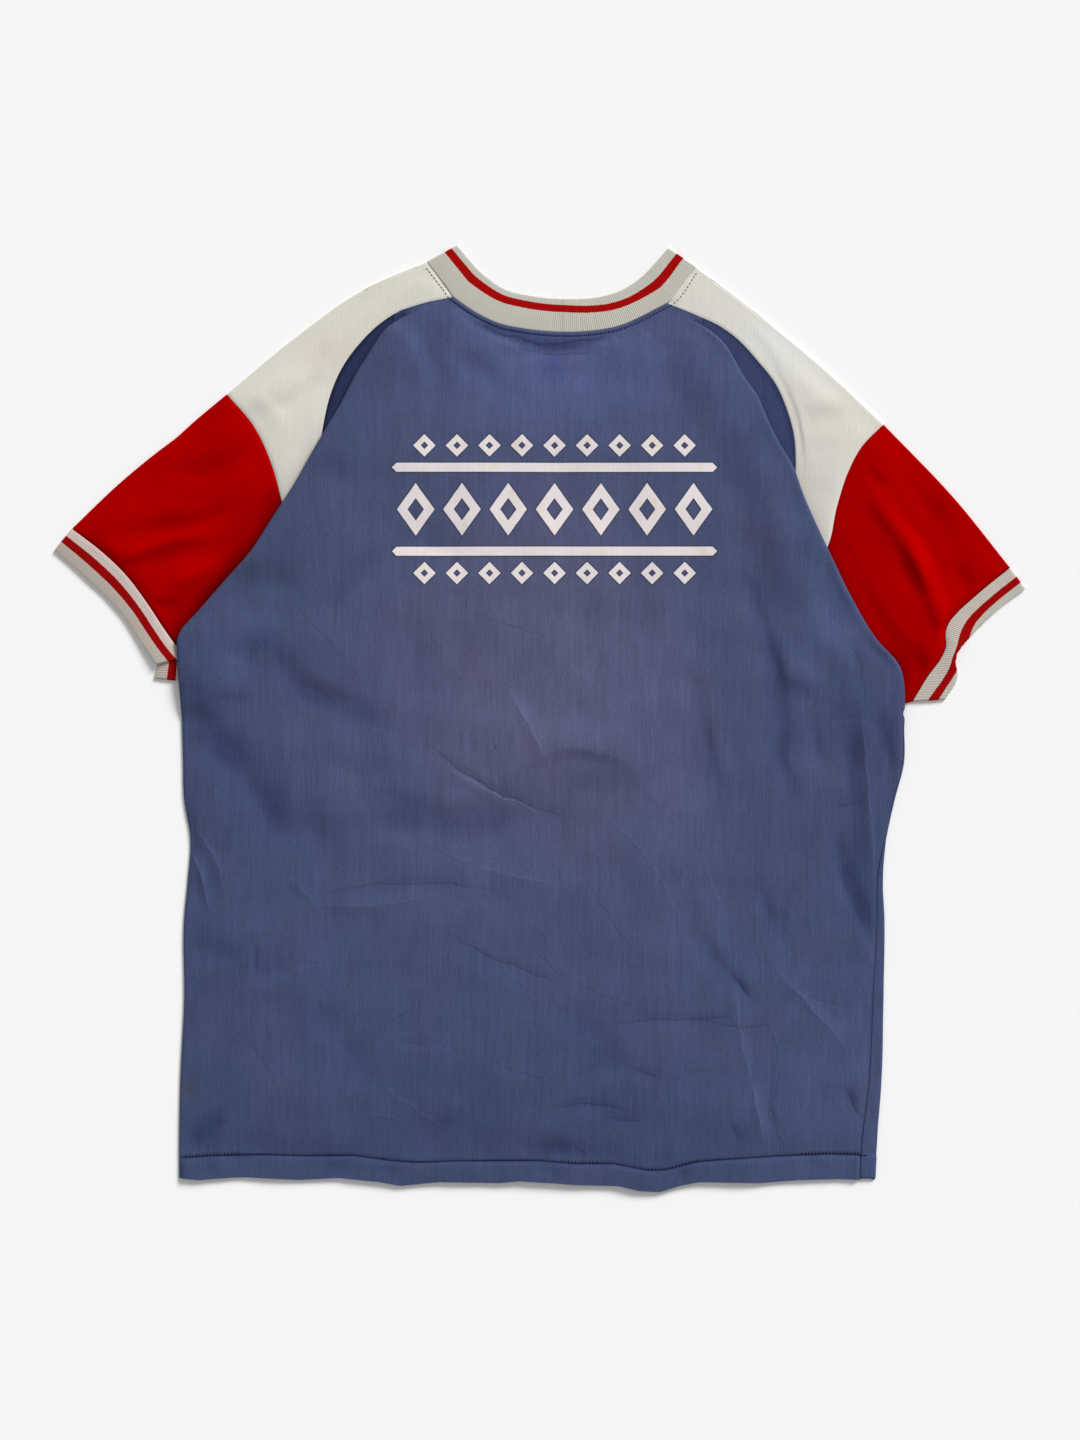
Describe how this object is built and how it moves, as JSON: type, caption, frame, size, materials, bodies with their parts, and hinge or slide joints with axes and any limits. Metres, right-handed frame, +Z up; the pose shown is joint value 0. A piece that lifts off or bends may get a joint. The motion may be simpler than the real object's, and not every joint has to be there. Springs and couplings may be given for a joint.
{
  "type": "baseball jersey",
  "caption": "Pullover baseball jersey laid flat on its front, seen from the back: blue body, white shoulders, red sleeves, striped grey rib collar and cuffs.",
  "frame": {"origin": "centre of the garment's outline, on the surface that it lies on", "axes": "+Z up from the surface, out of the back of the jersey; +Y towards the collar; +X towards the wearer's right as the back is seen, across the width"},
  "size_m": [0.7768, 0.7563, 0.0052],
  "materials": {
    "blue_knit": "faded polyester knit with fine wales",
    "white_knit": "matte polyester knit",
    "red_knit": "matte polyester knit",
    "grey_rib": "rib knit with one red stripe"
  },
  "bodies": {
    "root": {"back_panel": "blue_knit", "front_panel": "blue_knit", "left_shoulder": "white_knit", "right_shoulder": "white_knit", "left_sleeve": "red_knit", "right_sleeve": "red_knit", "left_cuff": "grey_rib", "right_cuff": "grey_rib", "collar": "grey_rib"}
  },
  "joints": []
}
